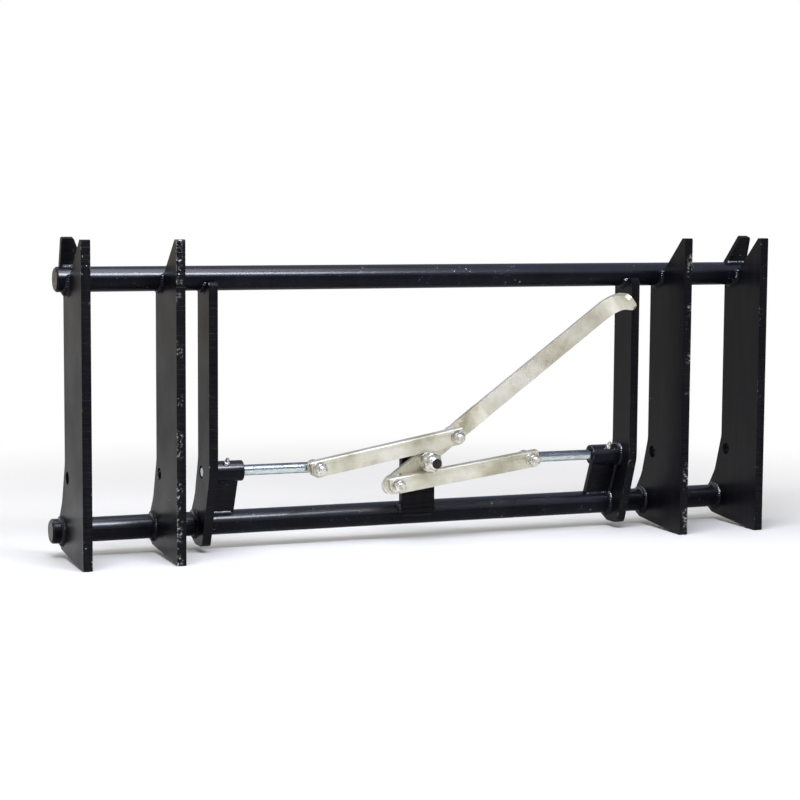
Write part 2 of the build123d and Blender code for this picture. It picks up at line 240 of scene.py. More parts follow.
def enamel(name, look):
    material, tree, shader, place = emptyMaterial(name, {
        "IOR": look["ior"], "Specular IOR Level": look["mirror"],
        "Coat IOR": look["wetIor"], "Coat Roughness": look["wetRoughness"],
    })
    apart = addNode(tree, "SeparateXYZ", {}, {"Vector": place})
    reach = addNode(tree, "Math", {"operation": "ABSOLUTE"}, {0: apart.outputs["X"]})
    trueNormal = addNode(tree, "NewGeometry").outputs["Normal"]
    facing = addNode(tree, "SeparateXYZ", {}, {"Vector": trueNormal})
    # cut edges, which take the knocks, don't face along the bars
    sideways = addNode(tree, "Math", {"operation": "ABSOLUTE"}, {0: facing.outputs["X"]})
    onEdge = addNode(tree, "MapRange", span(look["cutEdge"]), {"Value": sideways.outputs[0]})
    cloudy = addNode(tree, "TexNoise", {"Scale": perMetre(look["cloudMm"]), "Detail": 6, "Roughness": 0.6},
                     {"Vector": place})
    streakPlace = addNode(tree, "Mapping", {"Scale": (1, 1, look["streakStretch"])}, {"Vector": place})
    streaks = addNode(tree, "TexNoise", {"Scale": perMetre(look["streakMm"]), "Detail": 4},
                      {"Vector": streakPlace.outputs[0]})
    peel = addNode(tree, "TexNoise", {"Scale": perMetre(look["peelMm"]), "Detail": 3}, {"Vector": place})
    paint = addNode(tree, "ValToRGB", ramp(look["cloudStops"], (look["paint"], look["thinPaint"])),
                    {"Fac": cloudy.outputs["Fac"]})
    dustMask = addNode(tree, "ValToRGB", ramp(look["dustStops"], (0, look["dustShare"])),
                       {"Fac": streaks.outputs["Fac"]})
    dusty = addNode(tree, "MixRGB", {"Color2": linear(look["dust"])},
                    {"Fac": dustMask.outputs[0], "Color1": paint.outputs[0]})
    patches = wornPatches(tree, look, place, apart, reach)
    bare = bareSteel(tree, look, place, trueNormal, onEdge, patches)
    steel = addNode(tree, "ValToRGB", ramp(look["steelStops"], (look["rustySteel"], look["bareSteel"])),
                    {"Fac": peel.outputs["Fac"]})
    chipped = addNode(tree, "MixRGB", {},
                      {"Fac": bare.outputs[0], "Color1": dusty.outputs[0], "Color2": steel.outputs[0]})
    # sawn bar ends, brushed thin with paint
    sawn = addNode(tree, "MapRange", span(metres(look["sawnFromMm"])), {"Value": reach.outputs[0]})
    sawnColour = addNode(tree, "ValToRGB", ramp(look["sawnStops"], (look["sawnDark"], look["sawnPale"])),
                         {"Fac": peel.outputs["Fac"]})
    colour = addNode(tree, "MixRGB", {},
                     {"Fac": sawn.outputs[0], "Color1": chipped.outputs[0], "Color2": sawnColour.outputs[0]})
    gloss = addNode(tree, "MapRange", span(look["cloudStops"], look["roughness"]),
                    {"Value": cloudy.outputs["Fac"]})
    wet = addNode(tree, "MapRange", span(look["glossFrom"], (0, look["wetGloss"])),
                  {"Value": facing.outputs["Z"]})
    relief = enamelRelief(tree, look, place, peel, onEdge, bare)
    feed(tree, shader, {"Base Color": colour, "Roughness": gloss, "Metallic": bare, "Coat Weight": wet,
                        "Normal": relief, "Coat Normal": relief})
    return material


# bright zinc plate on flat bar, passivated clear: the eye sees a pale grey-beige satin, softly clouded,
# with rolling lines along the bar
zincLook = {
    "pale": "#edeadc",
    "mid": "#d8d4c0",
    "stain": "#b4af96",
    "roughness": (0.34, 0.5),
    "glossStops": (0.3, 0.7),
    "metallic": 0.7,
    "cloudMm": 55,
    "cloudStops": (0.3, 0.46, 0.62),
    "lineMm": 0.8,  # rolling lines are nearer 0.2 mm apart; drawn coarser so that they show
    "lineStretch": 0.03,
    "lineStops": (0.35, 0.6),
    "lineTone": 0.78,
    "lineShade": 0.35,
    "lineBump": (0.15, 0.04),  # strength, and depth in mm
    "spotMm": 5,
    "spotStops": (0.3, 0.5),
    "spotTone": 0.7,
    "spotShade": 0.14,
    "spotBump": (0.07, 0.1),
}


def platedZinc(name, look, along=(1, 0, 0)):
    material, tree, shader, place = emptyMaterial(name, {"Metallic": look["metallic"]})
    turn = Vector(along).rotation_difference(Vector((1, 0, 0))).to_euler()
    laid = addNode(tree, "Mapping", {"Rotation": turn}, {"Vector": place})
    stretched = addNode(tree, "Mapping", {"Scale": (look["lineStretch"], 1, 1)}, {"Vector": laid.outputs[0]})
    clouds = addNode(tree, "TexNoise", {"Scale": perMetre(look["cloudMm"]), "Detail": 5, "Roughness": 0.55},
                     {"Vector": place})
    lines = addNode(tree, "TexNoise", {"Scale": perMetre(look["lineMm"]), "Detail": 3},
                    {"Vector": stretched.outputs[0]})
    spots = addNode(tree, "TexNoise", {"Scale": perMetre(look["spotMm"]), "Detail": 5, "Roughness": 0.65},
                    {"Vector": place})
    colour = addNode(tree, "ValToRGB", ramp(look["cloudStops"], (look["stain"], look["mid"], look["pale"])),
                     {"Fac": clouds.outputs["Fac"]})
    bump = None
    for kind, pattern in (("line", lines), ("spot", spots)):
        shade = addNode(tree, "ValToRGB", ramp(look[kind + "Stops"], (look[kind + "Tone"], 1)),
                        {"Fac": pattern.outputs["Fac"]})
        colour = addNode(tree, "MixRGB", {"blend_type": "MULTIPLY", "Fac": look[kind + "Shade"]},
                         {"Color1": colour.outputs[0], "Color2": shade.outputs[0]})
        strength, depth = look[kind + "Bump"]
        beneath = {"Normal": bump.outputs[0]} if bump else {}
        bump = addNode(tree, "Bump", {"Strength": strength, "Distance": depth * mm},
                       {"Height": pattern.outputs["Fac"], **beneath})
    gloss = addNode(tree, "MapRange", span(look["glossStops"], look["roughness"]),
                    {"Value": spots.outputs["Fac"]})
    feed(tree, shader, {"Base Color": colour, "Roughness": gloss, "Normal": bump})
    return material


# bright drawn steel rod: the eye sees one long white band between darker ones, fine lines and a smear
# of grease
rodLook = {
    "steel": "#d9e0e2",
    "shade": "#9aa5a6",
    "grease": "#3b3a30",
    "greaseShare": 0.35,
    "greaseStops": (0.58, 0.72),
    "roughness": (0.2, 0.32),
    "glossStops": (0.35, 0.7),
    "lineMm": 0.5,  # drawing lines are nearer 0.1 mm apart; drawn coarser so that they show
    "lineStretch": 0.04,
    "lineStops": (0.35, 0.6),
    "lineBump": (0.2, 0.02),  # strength, and depth in mm
    "smearMm": 30,
}


def drawnRod(name, look):
    material, tree, shader, place = emptyMaterial(name, {"Metallic": 1.0})
    stretched = addNode(tree, "Mapping", {"Scale": (look["lineStretch"], 1, 1)}, {"Vector": place})
    lines = addNode(tree, "TexNoise", {"Scale": perMetre(look["lineMm"]), "Detail": 2},
                    {"Vector": stretched.outputs[0]})
    smear = addNode(tree, "TexNoise", {"Scale": perMetre(look["smearMm"]), "Detail": 5}, {"Vector": place})
    steel = addNode(tree, "ValToRGB", ramp(look["lineStops"], (look["shade"], look["steel"])),
                    {"Fac": lines.outputs["Fac"]})
    greasy = addNode(tree, "ValToRGB", ramp(look["greaseStops"], (0, look["greaseShare"])),
                     {"Fac": smear.outputs["Fac"]})
    colour = addNode(tree, "MixRGB", {"Color2": linear(look["grease"])},
                     {"Fac": greasy.outputs[0], "Color1": steel.outputs[0]})
    gloss = addNode(tree, "MapRange", span(look["glossStops"], look["roughness"]),
                    {"Value": smear.outputs["Fac"]})
    strength, depth = look["lineBump"]
    bump = addNode(tree, "Bump", {"Strength": strength, "Distance": depth * mm},
                   {"Height": lines.outputs["Fac"]})
    feed(tree, shader, {"Base Color": colour, "Roughness": gloss, "Normal": bump})
    return material


barEnamel = enamel("blackEnamelOnBar", enamelLook)
# hot rolled plate, flame cut round its outline: flatter, duller paint, with lines through the cut edges
plateLook = {
    **enamelLook,
    "paint": "#08080d",
    "thinPaint": "#0d0d13",
    "mirror": 0.1,
    "wetGloss": 0.4,
    "wetIor": 1.5,
    "roughness": (0.28, 0.4),
    "peelStrength": 0.15,
    "dragStrength": 1.0,
    "dragDepthMm": 2.4,  # deeper than real, for the light to catch it
    "dustShare": 0.1,
    "endWear": 0.07,
    "edgeMm": 2.2,
    "patchLimit": 0.57,
}
plateEnamel = enamel("blackEnamelOnFlameCutPlate", plateLook)
# arms and ears knock against the middle plates, so the plates' cut edges are bare in long patches on the
# outward side, and more so on the left plate
wornLook = {**plateLook, "patchLimit": 0.53, "chipLimit": 0.45, "edgeMm": 3.6, "wornFromMm": (446, 451.5)}
wornEnamel = {hand: enamel(f"blackEnamelOnWornPlate{hand.capitalize()}", {**wornLook, "endWear": share})
              for hand, share in (("left", 0.2), ("right", 0.08))}
# over the weld beads the paint lies thick and wet in the ripples, so that they glint
weldLook = {**enamelLook, "roughness": (0.2, 0.34), "mirror": 0.12, "wetRoughness": 0.16, "dustShare": 0.04,
            "peelMm": 2.0, "chipLimit": 0.8}
weldEnamel = enamel("blackEnamelOnWeld", weldLook)
leverZinc = platedZinc("zincPlatedFlatBar", zincLook, (math.cos(leverRise), 0, math.sin(leverRise)))
linkZinc = platedZinc("zincPlatedChannel", zincLook)
# zinc on turned and forged steel is shinier, so each flat of a nut catches its own tone
boltZinc = platedZinc("zincPlatedFastener", {
    **zincLook, "pale": "#eceae2", "mid": "#d0cdc2", "stain": "#a19d90", "roughness": (0.22, 0.38),
    "cloudMm": 9, "lineMm": 0.5, "metallic": 0.85,
})
# the stud's sawn end was never plated: a flat brown-black oxide disc
oxideSteel = platedZinc("oxidisedSawnSteel", {
    **zincLook, "pale": "#3a3026", "mid": "#2a221b", "stain": "#191410", "roughness": (0.5, 0.7),
    "cloudMm": 7, "lineMm": 0.5, "metallic": 0.4,
})
pinRod = drawnRod("brightDrawnRod", rodLook)

slotMaterials = {"frame_paint": plateEnamel, "zinc_flat": linkZinc, "zinc_fasteners": boltZinc,
                 "bright_rod": pinRod}
ownMaterials = {"lever": leverZinc, "top_bar": barEnamel, "bottom_bar": barEnamel, "pin_bosses": barEnamel,
                "middle_plate_left": wornEnamel["left"], "middle_plate_right": wornEnamel["right"]}
for subpart in frame["record"]["subparts"]:
    name = subpart["node"]
    nodes[name].data.materials.clear()
    nodes[name].data.materials.append(ownMaterials.get(name) or slotMaterials[subpart["material_slot"]])
print("stage: materials on the carried-over nodes")

# flame-cut and sheared edges are broken a little, so light catches them
edgeBreak = {
    "widthMm": {"outer_plate": 0.9, "middle_plate": 0.9, "inner_bracket": 0.9, "corner_horn": 0.8,
                "pivot_post": 0.7, "boss_gusset": 0.6, "pin_bosses": 1.5, "lever": 0.9, "link_left": 0.5,
                "link_right": 0.5},  # by the start of the node's name
    "joinMm": 0.002,
    "segments": 2,
    "sharpFrom": 38,  # degrees
}
for name, node in nodes.items():
    widths = [width for start, width in edgeBreak["widthMm"].items() if name.startswith(start)]
    if widths:
        weld = node.modifiers.new("joinFacets", "WELD")
        weld.merge_threshold = edgeBreak["joinMm"] * mm
        bevel = node.modifiers.new("brokenEdge", "BEVEL")
        bevel.width = widths[0] * mm
        bevel.segments = edgeBreak["segments"]
        bevel.limit_method = "ANGLE"
        bevel.angle_limit = math.radians(edgeBreak["sharpFrom"])
        normals = node.modifiers.new("evenNormals", "WEIGHTED_NORMAL")
        normals.keep_sharp = True

creaseFrom = 32  # degrees between faces of a made piece


def makePiece(name, verts, faces, material, body, replaced=()):
    mesh = bpy.data.meshes.new(name)
    mesh.from_pydata([tuple(v) for v in verts], [], faces)
    mesh.validate()
    piece = bpy.data.objects.new(name, mesh)
    bpy.context.scene.collection.objects.link(piece)
    mesh.materials.append(material)
    mesh.shade_smooth()
    mesh.set_sharp_from_angle(angle=math.radians(creaseFrom))
    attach(piece, body)
    if replaced:
        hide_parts(*replaced)
    return piece


def loopFaces(ringSize, ringCount, closed):  # skin from ring to ring, with a lid on each open end
    faces = []
    for i in range(ringCount if closed else ringCount - 1):
        here, ahead = i * ringSize, (i + 1) % ringCount * ringSize
        for k in range(ringSize):
            after = (k + 1) % ringSize
            faces.append((here + k, here + after, ahead + after, ahead + k))
    if not closed:
        faces.append(tuple(reversed(range(ringSize))))
        faces.append(tuple((ringCount - 1) * ringSize + k for k in range(ringSize)))
    return faces


# weld beads, laid by hand: ripples like stacked coins, a wandering leg and a soft crown
beadSize = {
    "leg": 5.6,  # mm, as are the ripple, the wander's waves, the lag, the step, the sink and the end's fade
    "ripple": 3.4,
    "rippleShare": 0.2,
    "wanderShare": 0.14,
    "wanderWaves": (2.9, 5.3, 11.0),
    "wanderStart": 6.28,  # radians, the most that a wave is shifted by
    "crownShare": 0.16,
    "crownLift": 0.7,
    "lag": 1.5,
    "across": 8,
    "step": 0.75,
    "fewestSteps": {"round": 8, "straight": 3},
    "sink": 0.3,
    "endShare": 0.45,
    "endFade": 5,
}


def weldBead(name, path, closed, scale=1.0):  # path: (root, along one wall, along the other) per step
    look = beadSize
    rng = random.Random(name)
    phases = [rng.uniform(0, look["wanderStart"]) for _ in look["wanderWaves"]]
    verts = []
    travelled = 0.0
    across = look["across"]
    for index, (root, wallA, wallB) in enumerate(path):
        if index:
            travelled += (root - path[index - 1][0]).length / mm
        waves = [math.sin(travelled / wave + phase) for wave, phase in zip(look["wanderWaves"], phases)]
        wander = sum(waves) / len(waves)
        fade = 1.0
        if not closed:
            fromEnd = min(index, len(path) - 1 - index) * look["step"]
            fade = min(1.0, look["endShare"] + fromEnd / look["endFade"])
        leg = look["leg"] * scale * fade * (1 + look["wanderShare"] * wander)
        for k in range(across):
            t = k / (across - 1)
            arch = math.sin(math.pi * t)
            hump = abs(math.sin(math.pi * (travelled + look["lag"] * arch) / look["ripple"]))
            crown = leg * (look["crownShare"] + look["rippleShare"] * (hump - 0.5) * arch)
            lift = (wallA + wallB) * (crown * arch * look["crownLift"])
            chord = wallA * (leg * (1 - t)) + wallB * (leg * t) + lift
            toe = (wallA * t + wallB * (1 - t)) * look["sink"]
            verts.append(root + (chord - toe) * mm)
        verts.append(root - (wallA + wallB) * look["sink"] * mm)
    faces = loopFaces(across + 1, len(path), closed)
    return makePiece(name, verts, faces, weldEnamel, "frame")


def roundPath(x, centre, radius, start, end, towards):
    # the root runs round a bar or boss at a plate's face; degrees from the rear, over the top
    length = abs(math.radians(end - start)) * radius
    steps = max(beadSize["fewestSteps"]["round"], round(length / beadSize["step"]))
    closed = abs(end - start) >= 360
    path = []
    for i in range(steps if closed else steps + 1):
        angle = math.radians(start + (end - start) * i / steps)
        out = Vector((0, math.cos(angle), math.sin(angle)))
        root = Vector((x, centre[0], centre[1])) * mm + out * radius * mm
        path.append((root, out, Vector((towards, 0, 0))))
    return path, closed


def straightPath(start, end, wallA, wallB):
    first, last = Vector(start) * mm, Vector(end) * mm
    steps = max(beadSize["fewestSteps"]["straight"], round((last - first).length / mm / beadSize["step"]))
    walls = Vector(wallA).normalized(), Vector(wallB).normalized()
    return [(first.lerp(last, i / steps), *walls) for i in range(steps + 1)]


# plates and brackets on both bars; sizes in mm, arcs in degrees
barBead = {
    "radius": 20.0,
    "topCentre": (0, 0),
    "bottomCentre": (45.0, -404.0),
    "topArc": {"outer_plate": (158, 320), "middle_plate": (158, 320), "inner_bracket": (197, 322)},
    "freeEndScale": 1.5,  # the widest beads are at the top bar's two free ends
}


def barBeads(hand, side):
    for plate, (start, end) in barBead["topArc"].items():
        low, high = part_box(f"{plate}_{hand}")
        title = plate.split("_")[0] + hand.capitalize()
        for faceName, x, towards in (("A", low.x / mm, -1), ("B", high.x / mm, 1)):
            freeEnd = plate == "outer_plate" and towards == side
            scale = barBead["freeEndScale"] if freeEnd else 1.0
            path, closed = roundPath(x, barBead["topCentre"], barBead["radius"], start, end, towards)
            weldBead(f"topBead_{title}_{faceName}", path, closed, scale)
            path, closed = roundPath(x, barBead["bottomCentre"], barBead["radius"], 0, 360, towards)
            weldBead(f"bottomBead_{title}_{faceName}", path, closed)


# the pin boss on the bracket's inner face, and the web between boss and bottom bar
bossBead = {"radius": 17.0, "centre": (5.5, linkage["pinZ"]), "faceX": 372.0, "scale": 0.75}  # mm
webBead = {
    "innerX": 326,  # mm, as are the half thickness and the insets
    "halfThick": 5,
    "barWall": (0.97, 0.25),  # the bar's surface beside the web, as shares across the web and away from it
    "bossWall": (0.96, 0.29),
    "footScale": 0.8,
    "headScale": 0.7,
    "sideScale": 0.7,
    "footInset": 4,
    "headInset": 3,
}


def bossBeads(hand, side):
    look = webBead
    faceX = side * bossBead["faceX"]
    path, closed = roundPath(faceX, bossBead["centre"], bossBead["radius"], 0, 360, -side)
    weldBead(f"bossBead_{hand}", path, closed, bossBead["scale"])
    barMiddle, bossMiddle = Vector((0, *barBead["bottomCentre"])), Vector((0, *bossBead["centre"]))
    up = (bossMiddle - barMiddle).normalized()
    beside = Vector((0, up.z, -up.y))
    inner, outer = Vector((side * look["innerX"], 0, 0)), Vector((faceX, 0, 0))
    barRise = math.sqrt(barBead["radius"]**2 - look["halfThick"]**2)
    bossDrop = math.sqrt(bossBead["radius"]**2 - look["halfThick"]**2)
    for faceName, way in (("Front", -1), ("Rear", 1)):
        foot = barMiddle + beside * way * look["halfThick"] + up * barRise
        head = bossMiddle + beside * way * look["halfThick"] - up * bossDrop
        across, away = look["barWall"]
        path = straightPath(foot + inner, foot + outer, up, beside * way * across - up * away)
        weldBead(f"webFootBead{faceName}_{hand}", path, False, look["footScale"])
        across, away = look["bossWall"]
        path = straightPath(head + inner, head + outer, -up, beside * way * across + up * away)
        weldBead(f"webHeadBead{faceName}_{hand}", path, False, look["headScale"])
        low, high = foot + outer + up * look["footInset"], head + outer - up * look["headInset"]
        path = straightPath(low, high, beside * way, (-side, 0, 0))
        weldBead(f"webSideBead{faceName}_{hand}", path, False, look["sideScale"])


# the corner horn's foot on the top bar, front and rear: root and bar wall as (y, z)
hornBead = {
    "lean": 16,  # degrees
    "insets": (2, 1),  # mm
    "Front": ((-6.4, 18.95), (-0.948, -0.32)),
    "Rear": ((4.5, 19.5), (0.975, -0.225)),
    "scale": 0.95,
}


def hornBeads(hand):
    lean = math.radians(hornBead["lean"])
    hornUp = Vector((0, -math.sin(lean), math.cos(lean)))
    low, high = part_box(f"corner_horn_{hand}")
    first, last = low.x / mm + hornBead["insets"][0], high.x / mm - hornBead["insets"][1]
    for faceName in ("Front", "Rear"):
        root, wall = hornBead[faceName]
        path = straightPath((first, *root), (last, *root), hornUp, (0, *wall))
        weldBead(f"hornFootBead{faceName}_{hand}", path, False, hornBead["scale"])


# the post's foot: behind, below and up both sides of the bar's front; roots and walls as (y, z)
postBead = {
    "halfWidth": 30,  # mm
    "inset": 1,
    "Rear": {"root": (32, -388.8), "walls": ((0, 1), (0.76, 0.65)), "scale": 0.9},
    "Below": {"root": (25, -404), "walls": ((-1, 0), (0, -1)), "scale": 0.8},
    "sideArc": (131, 180),  # degrees
    "sideScale": 0.8,
}


def postBeads():
    last = postBead["halfWidth"] - postBead["inset"]
    for faceName in ("Rear", "Below"):
        place = postBead[faceName]
        wallA, wallB = place["walls"]
        path = straightPath((-last, *place["root"]), (last, *place["root"]), (0, *wallA), (0, *wallB))
        weldBead(f"postFootBead{faceName}", path, False, place["scale"])
    for hand, side in hands.items():
        start, end = postBead["sideArc"]
        x = side * postBead["halfWidth"]
        path, closed = roundPath(x, barBead["bottomCentre"], barBead["radius"], start, end, side)
        weldBead(f"postFootBead_{hand}", path, closed, postBead["sideScale"])


for hand, side in hands.items():
    barBeads(hand, side)
    bossBeads(hand, side)
    hornBeads(hand)
postBeads()
print("stage: weld beads")

# turned and hexagonal hardware: rows of (height, radius or radius by angle), in mm
chamfer = {"faceShare": 0.475, "slope": 1.73, "depths": (0, 0.2, 0.45, 0.75, 1.1, 1.5)}
thread = {"depthShare": 0.61, "stepsPerPitch": 8, "crest": 0.12, "flank": 0.74, "rootDepth": 0.1}
washerEdge = 0.3


def hexRadius(flats, twist):
    def radius(angle):
        return flats / 2 / math.cos((angle + twist) % (math.pi / 3) - math.pi / 6)
    return radius


def capped(hexagon, faceRadius, depth):  # a 30 degree chamfer that turns the corners off
    return lambda angle: min(hexagon(angle), faceRadius + depth * chamfer["slope"])


def hexRows(flats, bottom, top, twist, both=True):
    hexagon = hexRadius(flats, twist)
    faceRadius = flats * chamfer["faceShare"]
    depths = chamfer["depths"]
    rows = [(bottom, hexagon)]
    if both:
        rows = [(bottom + d, capped(hexagon, faceRadius, d)) for d in depths]
    return rows + [(top - d, capped(hexagon, faceRadius, d)) for d in reversed(depths)]


def threadRows(radius, pitch, start, end):
    depth = thread["depthShare"] * pitch
    rows = []
    steps = round((end - start) / pitch * thread["stepsPerPitch"])
    for i in range(steps + 1):
        height = start + (end - start) * i / steps

        def threaded(angle, height=height):
            phase = (height / pitch - angle / (2 * math.pi)) % 1
            flank = min(1, max(0, (abs(2 * phase - 1) - thread["crest"]) / thread["flank"]))
            pointed = radius - depth + max(0, end - height)
            return max(radius - depth - thread["rootDepth"], min(radius - depth * (1 - flank), pointed))
        rows.append((height, threaded))
    return rows


def washerRows(thickness, bore, outer):
    return [(0, bore), (0, outer - washerEdge), (washerEdge, outer), (thickness - washerEdge, outer),
            (thickness, outer - washerEdge), (thickness, bore)]


def turned(name, centre, direction, rows, body, replaced, ring=False, segments=72):
    axis = Vector(direction).normalized()
    sideways = Vector((1, 0, 0))
    upward = axis.cross(sideways)
    verts = []
    for height, radius in rows:
        for s in range(segments):
            angle = 2 * math.pi * s / segments
            r = radius(angle) if callable(radius) else radius
            spoke = (sideways * math.cos(angle) + upward * math.sin(angle)) * r
            verts.append((Vector(centre) + axis * height + spoke) * mm)
    faces = loopFaces(segments, len(rows), ring)
    return makePiece(name, verts, faces, boltZinc, body, (replaced,))


# M12 crank and eye bolts, in mm. The seat is where the rear washer starts, behind the lever or the lock
# pin's tongue, and rearWasher is its radius
boltSize = {
    "flats": 18.0,
    "radius": 6.0,
    "pitch": 1.75,
    "head": 7.5,
    "nut": 10.8,
    "nutBore": 5.4,
    "washer": 2.5,
    "washerBore": 6.3,
    "washerRadius": 12.0,
    "proud": 8.0,
    "linkFront": -22.0,
    "plainUpTo": 4,  # behind the link's front
    "crank": {"seat": 6.3, "rearWasher": 15.0},
    "eye": {"seat": 12.3, "rearWasher": 12.0},
}
towardsFront = (0, -1, 0)
rng = random.Random(12)  # how far each hexagon happens to be turned


def boltSet(title, hand, x, z, seat, rearWasher):
    size = boltSize
    body, boltNode, nutNode = f"link_{hand}", f"link_bolts_{hand}", f"link_nuts_{hand}"
    headBack = seat + size["washer"] + size["head"]
    nutBack = size["linkFront"] - size["washer"]
    tip = nutBack - size["nut"] - size["proud"]
    threadStart = headBack - size["linkFront"] - size["plainUpTo"]
    rows = hexRows(size["flats"], 0, size["head"], rng.uniform(0, 1))
    rows += [(size["head"], size["radius"]), (threadStart, size["radius"])]
    rows += threadRows(size["radius"], size["pitch"], threadStart, headBack - tip)
    turned(f"{title}Bolt", (x, headBack, z), towardsFront, rows, body, boltNode)
    rows = washerRows(size["washer"], size["washerBore"], rearWasher)
    washerBack = seat + size["washer"]
    turned(f"{title}RearWasher", (x, washerBack, z), towardsFront, rows, body, boltNode, ring=True)
    rows = washerRows(size["washer"], size["washerBore"], size["washerRadius"])
    turned(f"{title}FrontWasher", (x, size["linkFront"], z), towardsFront, rows, body, nutNode, ring=True)
    rows = hexRows(size["flats"], 0, size["nut"], rng.uniform(0, 1))
    rows = [(0, size["nutBore"])] + rows + [(size["nut"], size["nutBore"])]
    turned(f"{title}Nut", (x, nutBack, z), towardsFront, rows, body, nutNode, ring=True)


for hand, side in hands.items():
    across = linkage["crankRadius"] * math.cos(leverRise)
    above = linkage["crankRadius"] * math.sin(leverRise)
    places = {"crank": (-side * across, linkage["pivotZ"] - side * above),
              "eye": (linkage["eyeX"][hand], linkage["pinZ"])}
    for placeName, (x, z) in places.items():
        fit = boltSize[placeName]
        boltSet(placeName + hand.capitalize(), hand, x, z, fit["seat"], fit["rearWasher"])

# M20 pivot stud with its washer and nut, in mm
studSize = {
    "flats": 30.0,
    "radius": 10.0,
    "pitch": 2.5,
    "head": 12.5,
    "headTwist": 0.2,
    "rear": 32.0,
    "tip": -61.0,
    "plainUpTo": 6,  # behind the washer's back
    "washer": 3.0,
    "washerBack": -27.3,
    "washerBore": 10.4,
    "washerRadius": 17.0,
    "nut": 16.0,
    "nutBore": 8.9,
    "nutTwist": 0.35,
}


def pivotSet():
    size = studSize
    headBack = size["rear"] + size["head"]
    threadStart = headBack - size["washerBack"] - size["plainUpTo"]
    rows = hexRows(size["flats"], 0, size["head"], size["headTwist"])
    rows += [(size["head"], size["radius"]), (threadStart, size["radius"])]
    rows += threadRows(size["radius"], size["pitch"], threadStart, headBack - size["tip"])
    z = linkage["pivotZ"]
    stud = turned("pivotStud", (0, headBack, z), towardsFront, rows, "frame", "pivot_stud")
    stud.data.materials.append(oxideSteel)
    stud.data.polygons[-1].material_index = 1  # the front end
    rows = washerRows(size["washer"], size["washerBore"], size["washerRadius"])
    turned("pivotWasher", (0, size["washerBack"], z), towardsFront, rows, "frame", "pivot_nut", ring=True)
    rows = hexRows(size["flats"], 0, size["nut"], size["nutTwist"])
    rows = [(0, size["nutBore"])] + rows + [(size["nut"], size["nutBore"])]
    nutBack = size["washerBack"] - size["washer"]
    turned("pivotNut", (0, nutBack, z), towardsFront, rows, "frame", "pivot_nut", ring=True)


pivotSet()

nippleSize = {
    "flats": 9.0,
    "hexHeight": 5.0,
    "hexTwist": 0.4,
    "head": ((5.0, 3.6), (5.6, 2.5), (8.0, 2.3), (8.5, 2.9), (9.3, 3.25), (10.8, 3.2), (11.9, 2.7),
             (12.6, 2.1), (13.0, 1.5), (12.7, 1.1), (12.2, 0.9)),  # neck, ball and the dimple in its end
    "tilt": 50,  # degrees up from straight to the front
    "inset": 24.0,  # from the bracket, in mm like the rest
    "segments": 36,
}


def nipple(hand, side):
    size = nippleSize
    tilt = math.radians(size["tilt"])
    outward = Vector((0, -math.cos(tilt), math.sin(tilt)))
    foot = Vector((side * (bossBead["faceX"] - size["inset"]), *bossBead["centre"]))
    rows = hexRows(size["flats"], 0, size["hexHeight"], size["hexTwist"], both=False) + list(size["head"])
    turned(f"greaseNipple_{hand}", foot + outward * bossBead["radius"], outward, rows, "frame",
           "grease_nipples", segments=size["segments"])


for hand, side in hands.items():
    nipple(hand, side)
print("stage: bolts, nuts, washers and nipples")

# matt painted board, lit to a soft white that carries the object's shadow and fades into the backdrop
floorLook = {
    "halfWidth": 9,  # metres, as is the fade
    "paint": ("#f7f5ef", "#fcfaf5"),
    "paintStops": (0.3, 0.7),
    "roughness": 0.9,
    "mirror": 0.1,
    "hazeMm": 600,
    "fade": (0.75, 1.7),
    "white": 1.0,
    "reflected": 0.6,
}


def paintedBoard(look):
    material, tree, shader, place = emptyMaterial("mattPaintedBoard", {
        "Roughness": look["roughness"], "Specular IOR Level": look["mirror"]})
    haze = addNode(tree, "TexNoise", {"Scale": perMetre(look["hazeMm"]), "Detail": 2}, {"Vector": place})
    tone = addNode(tree, "ValToRGB", ramp(look["paintStops"], look["paint"]), {"Fac": haze.outputs["Fac"]})
    feed(tree, shader, {"Base Color": tone})
    distance = addNode(tree, "VectorMath", {"operation": "LENGTH"}, {0: place}).outputs["Value"]
    away = addNode(tree, "MapRange", {**span(look["fade"]), "interpolation_type": "SMOOTHSTEP"},
                   {"Value": distance})
    rays = addNode(tree, "LightPath")
    direct = addNode(tree, "Math", {"operation": "MAXIMUM"},
                     {0: rays.outputs["Is Camera Ray"], 1: rays.outputs["Is Transmission Ray"]})
    seen = addNode(tree, "Math", {"operation": "MAXIMUM"},
                   {0: direct.outputs[0], 1: rays.outputs["Is Glossy Ray"]})
    faded = addNode(tree, "Math", {"operation": "MULTIPLY"}, {0: away.outputs[0], 1: seen.outputs[0]})
    strength = addNode(tree, "MapRange", span((0, 1), (look["white"], look["reflected"])),
                       {"Value": rays.outputs["Is Glossy Ray"]})
    plain = addNode(tree, "Emission", {"Color": (1, 1, 1, 1)}, {"Strength": strength.outputs[0]})
    mixed = addNode(tree, "MixShader", {}, {0: faded.outputs[0], 1: shader.outputs[0], 2: plain.outputs[0]})
    output = next(node for node in tree.nodes if node.type == "OUTPUT_MATERIAL")
    tree.links.new(mixed.outputs[0], output.inputs["Surface"])
    return material


floorLevel = cadBox[0].z
corners = [(x * floorLook["halfWidth"], y * floorLook["halfWidth"], floorLevel)
           for x, y in ((-1, -1), (1, -1), (1, 1), (-1, 1))]
floorMesh = bpy.data.meshes.new("floor")
floorMesh.from_pydata(corners, [], [(0, 1, 2, 3)])
floorMesh.materials.append(paintedBoard(floorLook))
floor = bpy.data.objects.new("floor", floorMesh)
bpy.context.scene.collection.objects.link(floor)

